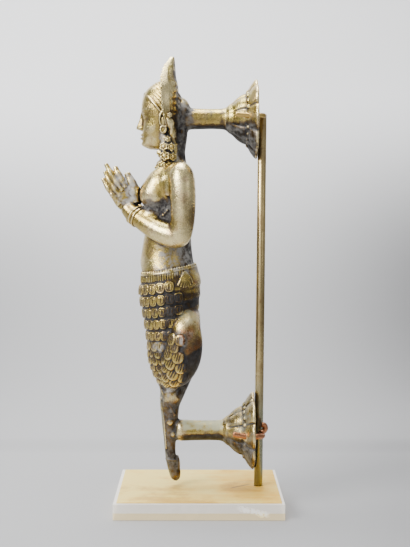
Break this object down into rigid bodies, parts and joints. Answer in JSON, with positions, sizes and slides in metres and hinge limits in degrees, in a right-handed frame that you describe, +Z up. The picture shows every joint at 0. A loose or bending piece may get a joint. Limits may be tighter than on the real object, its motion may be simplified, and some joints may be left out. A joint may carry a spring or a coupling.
{
  "type": "naga kanya door handle on a display stand",
  "caption": "Cast bronze door handle shaped as a serpent maiden with joined palms and a coiled tail, two struts ending in lotus rosettes, hooked to a rod on a clear base",
  "frame": {"origin": "middle of the base's underside", "axes": "+Z up along the figure, -Y the way the figure faces, +Y towards the rod and the rosettes, +X to the figure's left"},
  "size_m": [0.1, 0.1317, 0.3264],
  "materials": {
    "bronze": "worn golden bronze with dark patina in the recesses",
    "rod_brass": "satin brass",
    "hook_brass": "satin brass",
    "hook_copper": "satin copper wire",
    "clear_acrylic": "polished clear acrylic",
    "tan_sheet": "matte tan facing sheet"
  },
  "bodies": {
    "root": {"naga_kanya_handle": "bronze", "display_rod": "rod_brass", "upper_hook": "hook_brass", "lower_hook": "hook_copper", "base_block": "clear_acrylic", "facing_sheet": "tan_sheet"}
  },
  "joints": []
}
